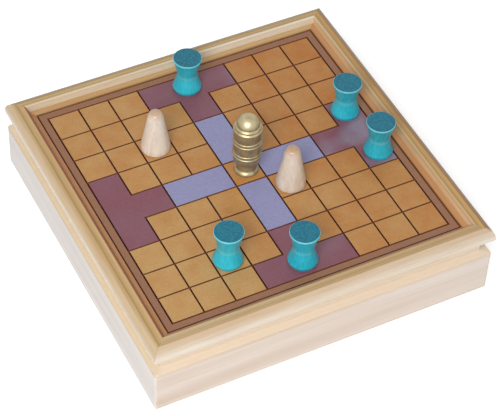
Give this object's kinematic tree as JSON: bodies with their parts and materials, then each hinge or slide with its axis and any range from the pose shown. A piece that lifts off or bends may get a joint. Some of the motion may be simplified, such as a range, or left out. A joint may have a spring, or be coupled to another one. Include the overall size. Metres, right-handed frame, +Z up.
{
  "type": "board_game_set",
  "caption": "Square wooden box with a lift-off lid that carries a tafl board in a mitred moulding, with turned wooden pieces on the board and stored inside",
  "frame": {"origin": "centre of the box's underside, on the table", "axes": "+Z up from the table, -Y out of the front side, +X out of the right side"},
  "size_m": [0.2, 0.2, 0.081],
  "materials": {
    "box_pine": "satin lacquered pale pine",
    "liner_pine": "bare pine",
    "floor_plywood": "bare thin plywood",
    "moulding_pine": "satin lacquered pine",
    "painted_board": "lacquered wood with stained squares and scored lines",
    "teal_wood": "turned wood, turquoise lacquer",
    "cream_wood": "turned pale wood, clear lacquer",
    "gilded_wood": "turned wood, satin gold lacquer"
  },
  "bodies": {
    "tray": {"tray_floor": "floor_plywood", "tray_wall_front": "box_pine", "tray_wall_right": "box_pine", "tray_wall_back": "box_pine", "tray_wall_left": "box_pine", "tray_liner_front": "liner_pine", "tray_liner_right": "liner_pine", "tray_liner_back": "liner_pine", "tray_liner_left": "liner_pine"},
    "lid": {"board_panel": "painted_board", "lid_moulding_front": "moulding_pine", "lid_moulding_right": "moulding_pine", "lid_moulding_back": "moulding_pine", "lid_moulding_left": "moulding_pine", "lid_neck_front": "liner_pine", "lid_neck_right": "liner_pine", "lid_neck_back": "liner_pine", "lid_neck_left": "liner_pine"},
    "attacker_e9": {"attacker_e9": "teal_wood"},
    "attacker_i6": {"attacker_i6": "teal_wood"},
    "attacker_i4": {"attacker_i4": "teal_wood"},
    "attacker_c2": {"attacker_c2": "teal_wood"},
    "attacker_e1": {"attacker_e1": "teal_wood"},
    "defender_c7": {"defender_c7": "cream_wood"},
    "defender_f4": {"defender_f4": "cream_wood"},
    "king_e5": {"king_e5": "gilded_wood"},
    "stored_attacker_01": {"stored_attacker_01": "teal_wood"},
    "stored_attacker_02": {"stored_attacker_02": "teal_wood"},
    "stored_attacker_03": {"stored_attacker_03": "teal_wood"},
    "stored_attacker_04": {"stored_attacker_04": "teal_wood"},
    "stored_attacker_05": {"stored_attacker_05": "teal_wood"},
    "stored_attacker_06": {"stored_attacker_06": "teal_wood"},
    "stored_attacker_07": {"stored_attacker_07": "teal_wood"},
    "stored_attacker_08": {"stored_attacker_08": "teal_wood"},
    "stored_attacker_09": {"stored_attacker_09": "teal_wood"},
    "stored_attacker_10": {"stored_attacker_10": "teal_wood"},
    "stored_attacker_11": {"stored_attacker_11": "teal_wood"},
    "stored_defender_01": {"stored_defender_01": "cream_wood"},
    "stored_defender_02": {"stored_defender_02": "cream_wood"},
    "stored_defender_03": {"stored_defender_03": "cream_wood"},
    "stored_defender_04": {"stored_defender_04": "cream_wood"},
    "stored_defender_05": {"stored_defender_05": "cream_wood"},
    "stored_defender_06": {"stored_defender_06": "cream_wood"}
  },
  "joints": [
    {"name": "lid_lift", "type": "slide", "parent": "tray", "child": "lid", "axis": [0, 0, 1], "range_m": [0, 0.08]},
    {"name": "attacker_e9_lift", "type": "slide", "parent": "lid", "child": "attacker_e9", "axis": [0, 0, 1], "range_m": [0, 0.06]},
    {"name": "attacker_i6_lift", "type": "slide", "parent": "lid", "child": "attacker_i6", "axis": [0, 0, 1], "range_m": [0, 0.06]},
    {"name": "attacker_i4_lift", "type": "slide", "parent": "lid", "child": "attacker_i4", "axis": [0, 0, 1], "range_m": [0, 0.06]},
    {"name": "attacker_c2_lift", "type": "slide", "parent": "lid", "child": "attacker_c2", "axis": [0, 0, 1], "range_m": [0, 0.06]},
    {"name": "attacker_e1_lift", "type": "slide", "parent": "lid", "child": "attacker_e1", "axis": [0, 0, 1], "range_m": [0, 0.06]},
    {"name": "defender_c7_lift", "type": "slide", "parent": "lid", "child": "defender_c7", "axis": [0, 0, 1], "range_m": [0, 0.06]},
    {"name": "defender_f4_lift", "type": "slide", "parent": "lid", "child": "defender_f4", "axis": [0, 0, 1], "range_m": [0, 0.06]},
    {"name": "king_e5_lift", "type": "slide", "parent": "lid", "child": "king_e5", "axis": [0, 0, 1], "range_m": [0, 0.06]},
    {"name": "stored_attacker_01_lift", "type": "slide", "parent": "tray", "child": "stored_attacker_01", "axis": [0, 0, 1], "range_m": [0, 0.008]},
    {"name": "stored_attacker_02_lift", "type": "slide", "parent": "tray", "child": "stored_attacker_02", "axis": [0, 0, 1], "range_m": [0, 0.008]},
    {"name": "stored_attacker_03_lift", "type": "slide", "parent": "tray", "child": "stored_attacker_03", "axis": [0, 0, 1], "range_m": [0, 0.008]},
    {"name": "stored_attacker_04_lift", "type": "slide", "parent": "tray", "child": "stored_attacker_04", "axis": [0, 0, 1], "range_m": [0, 0.008]},
    {"name": "stored_attacker_05_lift", "type": "slide", "parent": "tray", "child": "stored_attacker_05", "axis": [0, 0, 1], "range_m": [0, 0.008]},
    {"name": "stored_attacker_06_lift", "type": "slide", "parent": "tray", "child": "stored_attacker_06", "axis": [0, 0, 1], "range_m": [0, 0.008]},
    {"name": "stored_attacker_07_lift", "type": "slide", "parent": "tray", "child": "stored_attacker_07", "axis": [0, 0, 1], "range_m": [0, 0.008]},
    {"name": "stored_attacker_08_lift", "type": "slide", "parent": "tray", "child": "stored_attacker_08", "axis": [0, 0, 1], "range_m": [0, 0.008]},
    {"name": "stored_attacker_09_lift", "type": "slide", "parent": "tray", "child": "stored_attacker_09", "axis": [0, 0, 1], "range_m": [0, 0.008]},
    {"name": "stored_attacker_10_lift", "type": "slide", "parent": "tray", "child": "stored_attacker_10", "axis": [0, 0, 1], "range_m": [0, 0.008]},
    {"name": "stored_attacker_11_lift", "type": "slide", "parent": "tray", "child": "stored_attacker_11", "axis": [0, 0, 1], "range_m": [0, 0.008]},
    {"name": "stored_defender_01_lift", "type": "slide", "parent": "tray", "child": "stored_defender_01", "axis": [0, 0, 1], "range_m": [0, 0.004]},
    {"name": "stored_defender_02_lift", "type": "slide", "parent": "tray", "child": "stored_defender_02", "axis": [0, 0, 1], "range_m": [0, 0.004]},
    {"name": "stored_defender_03_lift", "type": "slide", "parent": "tray", "child": "stored_defender_03", "axis": [0, 0, 1], "range_m": [0, 0.004]},
    {"name": "stored_defender_04_lift", "type": "slide", "parent": "tray", "child": "stored_defender_04", "axis": [0, 0, 1], "range_m": [0, 0.004]},
    {"name": "stored_defender_05_lift", "type": "slide", "parent": "tray", "child": "stored_defender_05", "axis": [0, 0, 1], "range_m": [0, 0.004]},
    {"name": "stored_defender_06_lift", "type": "slide", "parent": "tray", "child": "stored_defender_06", "axis": [0, 0, 1], "range_m": [0, 0.004]}
  ]
}
